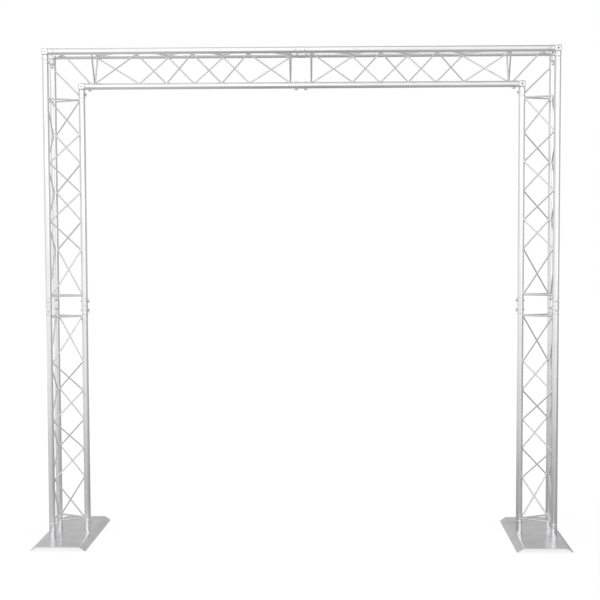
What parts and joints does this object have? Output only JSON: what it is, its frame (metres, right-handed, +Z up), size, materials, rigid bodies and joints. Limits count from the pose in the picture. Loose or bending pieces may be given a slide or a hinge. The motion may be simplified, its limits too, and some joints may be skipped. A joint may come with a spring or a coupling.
{
  "type": "truss arch",
  "caption": "Free-standing goal-post arch of triangular aluminium stage truss on two folded base plates",
  "frame": {"origin": "on the floor, under the middle of the arch", "axes": "+X along the beam, +Y from front to back, +Z up"},
  "size_m": [3.131, 0.914, 2.916],
  "materials": {
    "tube": "bright drawn",
    "coupler": "machined",
    "pin": "zinc plated",
    "plate": "mill"
  },
  "bodies": {
    "root": {"beam_section_left": "tube", "beam_section_right": "tube", "beam_coupler_front": "coupler", "beam_pin_right_front": "pin", "beam_pin_left_front": "pin", "beam_coupler_inner": "coupler", "beam_pin_right_inner": "pin", "beam_pin_left_inner": "pin", "beam_coupler_back": "coupler", "beam_pin_right_back": "pin", "beam_pin_left_back": "pin", "leg_section_left_upper": "tube", "leg_section_left_lower": "tube", "leg_left_coupler_front": "coupler", "leg_left_pin_upper_front": "pin", "leg_left_pin_lower_front": "pin", "leg_left_coupler_inner": "coupler", "leg_left_pin_upper_inner": "pin", "leg_left_pin_lower_inner": "pin", "leg_left_coupler_back": "coupler", "leg_left_pin_upper_back": "pin", "leg_left_pin_lower_back": "pin", "corner_coupler_left_front": "coupler", "corner_coupler_left_inner": "coupler", "corner_coupler_left_back": "coupler", "base_plate_left": "plate", "foot_cone_left_front": "coupler", "foot_bolt_left_front": "pin", "foot_pin_left_front": "pin", "foot_cone_left_inner": "coupler", "foot_bolt_left_inner": "pin", "foot_pin_left_inner": "pin", "foot_cone_left_back": "coupler", "foot_bolt_left_back": "pin", "foot_pin_left_back": "pin", "leg_section_right_upper": "tube", "leg_section_right_lower": "tube", "leg_right_coupler_front": "coupler", "leg_right_pin_upper_front": "pin", "leg_right_pin_lower_front": "pin", "leg_right_coupler_inner": "coupler", "leg_right_pin_upper_inner": "pin", "leg_right_pin_lower_inner": "pin", "leg_right_coupler_back": "coupler", "leg_right_pin_upper_back": "pin", "leg_right_pin_lower_back": "pin", "corner_coupler_right_front": "coupler", "corner_coupler_right_inner": "coupler", "corner_coupler_right_back": "coupler", "base_plate_right": "plate", "foot_cone_right_front": "coupler", "foot_bolt_right_front": "pin", "foot_pin_right_front": "pin", "foot_cone_right_inner": "coupler", "foot_bolt_right_inner": "pin", "foot_pin_right_inner": "pin", "foot_cone_right_back": "coupler", "foot_bolt_right_back": "pin", "foot_pin_right_back": "pin"}
  },
  "joints": []
}
